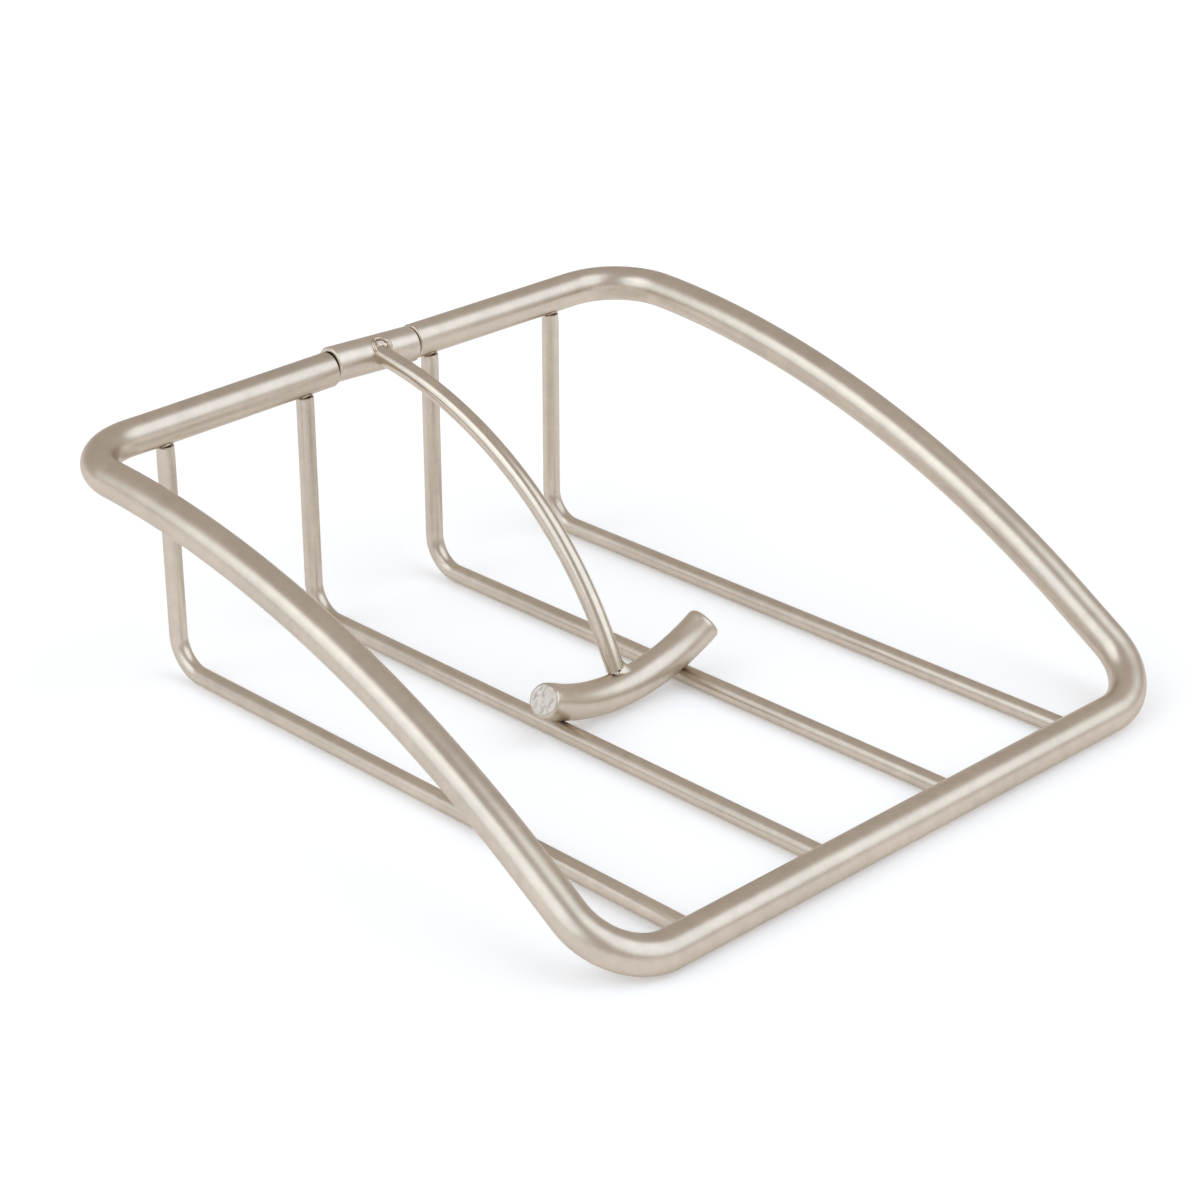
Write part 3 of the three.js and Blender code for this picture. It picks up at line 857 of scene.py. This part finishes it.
# ---------------------------------------------------------------------------
# Floor, light, camera
# ---------------------------------------------------------------------------
floor_me = bpy.data.meshes.new("floor")
S = 14.0
floor_me.from_pydata([(-S, -S, 0), (S, -S, 0), (S, S, 0), (-S, S, 0)], [], [(0, 1, 2, 3)])
floor = bpy.data.objects.new("floor", floor_me)
bpy.context.scene.collection.objects.link(floor)
floor.location.z = -0.0002
fm = bpy.data.materials.new("pale_floor")
fm.use_nodes = True
fb = fm.node_tree.nodes["Principled BSDF"]
fb.inputs["Base Color"].default_value = (0.93, 0.93, 0.93, 1)
fb.inputs["Roughness"].default_value = 0.9
fb.inputs["Specular IOR Level"].default_value = 0.1
fb.inputs["Emission Color"].default_value = (1.0, 1.0, 1.0, 1.0)
fb.inputs["Emission Strength"].default_value = 0.19
floor_me.materials.append(fm)

# The studio: an even room with two large soft boxes, left and front right.
world = bpy.data.worlds.new("studio")
bpy.context.scene.world = world
world.use_nodes = True
wt = world.node_tree
wt.nodes.clear()
wout = node(wt, "ShaderNodeOutputWorld", (1600, 0))
wbg = node(wt, "ShaderNodeBackground", (1400, 0))
wt.links.new(wbg.outputs[0], wout.inputs[0])
wtc = node(wt, "ShaderNodeTexCoord", (-1200, 0))
sep = node(wt, "ShaderNodeSeparateXYZ", (-1000, 0))
wt.links.new(wtc.outputs["Generated"], sep.inputs[0])


def wmath(op, a, b=None, c=None):
    nd = node(wt, "ShaderNodeMath", (0, 0), operation=op)
    for k, val in enumerate((a, b, c)):
        if val is None:
            continue
        if isinstance(val, (int, float)):
            nd.inputs[k].default_value = val
        else:
            wt.links.new(val, nd.inputs[k])
    return nd.outputs[0]


sx, sy, sz = sep.outputs
azimuth = wmath("ARCTAN2", sy, sx)
elevation = wmath("ARCSINE", wmath("MAXIMUM", wmath("MINIMUM", sz, 1.0), -1.0))


def softbox(az_deg, el_deg, half_az, half_el, inner=0.72, outer=1.22, power=3.0):
    """1 inside a rounded box of directions, fading to 0 across its edge."""
    d = wmath("SUBTRACT", azimuth, math.radians(az_deg))
    d = wmath("WRAP", d, math.pi, -math.pi)
    u = wmath("DIVIDE", wmath("ABSOLUTE", d), math.radians(half_az))
    w = wmath("DIVIDE", wmath("ABSOLUTE", wmath("SUBTRACT", elevation, math.radians(el_deg))), math.radians(half_el))
    q = wmath("POWER", wmath("ADD", wmath("POWER", u, power), wmath("POWER", w, power)), 1.0 / power)
    mr = node(wt, "ShaderNodeMapRange", (0, 0), interpolation_type="SMOOTHSTEP")
    wt.links.new(q, mr.inputs["Value"])
    mr.inputs["From Min"].default_value = inner
    mr.inputs["From Max"].default_value = outer
    mr.inputs["To Min"].default_value = 1.0
    mr.inputs["To Max"].default_value = 0.0
    return mr.outputs[0]


def scaled(color, fac):
    nd = node(wt, "ShaderNodeVectorMath", (0, 0), operation="SCALE")
    nd.inputs[0].default_value = color
    wt.links.new(fac, nd.inputs["Scale"])
    return nd.outputs[0]


def vadd(a, b):
    nd = node(wt, "ShaderNodeVectorMath", (0, 0), operation="ADD")
    wt.links.new(a, nd.inputs[0])
    wt.links.new(b, nd.inputs[1])
    return nd.outputs[0]


box_a = softbox(171, 33, 43, 28)
box_b = softbox(-60, 45, 44, 32)
horizon = node(wt, "ShaderNodeMapRange", (0, 0), interpolation_type="SMOOTHSTEP")
wt.links.new(elevation, horizon.inputs["Value"])
horizon.inputs["From Min"].default_value = math.radians(0)
horizon.inputs["From Max"].default_value = math.radians(16)
horizon.inputs["To Min"].default_value = 1.0
horizon.inputs["To Max"].default_value = 0.0
base = scaled((0.61, 0.583, 0.565), wmath("ADD", 1.0, 0.0))
sky = vadd(base, scaled((0.80, 0.98, 1.18), box_a))
sky = vadd(sky, scaled((0.84, 1.02, 1.22), box_b))
sky = vadd(sky, scaled((0.10, 0.11, 0.12), horizon.outputs[0]))
wt.links.new(sky, wbg.inputs["Color"])
wbg.inputs["Strength"].default_value = 1.0

key = bpy.data.lights.new("soft_key", "AREA")
key.shape = "RECTANGLE"
key.size, key.size_y = 1.6, 1.2
key.energy = 2.0
key.color = (0.95, 1.0, 1.0)
key_ob = bpy.data.objects.new("soft_key", key)
bpy.context.scene.collection.objects.link(key_ob)
key_ob.location = (-1.5, 0.5, 1.7)
key_ob.rotation_euler = (Vector((0, 0, 0.03)) - key_ob.location).to_track_quat("-Z", "Y").to_euler()

sc = bpy.context.scene
sc.view_settings.view_transform = "Standard"
sc.view_settings.look = "None"
sc.view_settings.exposure = 0.0
sc.view_settings.gamma = 1.0

cam = bpy.data.cameras.new("camera")
cam.sensor_fit = "HORIZONTAL"
cam.sensor_width = 36.0
cam.lens = 90.794
cam.clip_start, cam.clip_end = 0.01, 60.0
cam_ob = bpy.data.objects.new("camera", cam)
sc.collection.objects.link(cam_ob)
ROT = Vector((1.89195080, -0.77076856, 0.45679625))
TRN = Vector((0.07135044, 0.05193024, 0.70619303))
angle = ROT.length
Rcv = Matrix.Rotation(angle, 3, ROT.normalized())
# from the measuring frame (front rail axis at 0) to this frame
shift = Vector((0.0, -0.096683, 0.00475))
centre = -(Rcv.transposed() @ TRN) + shift
rx, ry, rz = Rcv[0], Rcv[1], Rcv[2]
M = Matrix(((rx[0], -ry[0], -rz[0]), (rx[1], -ry[1], -rz[1]), (rx[2], -ry[2], -rz[2])))
cam_ob.matrix_world = Matrix.Translation(centre) @ M.to_4x4()
sc.camera = cam_ob
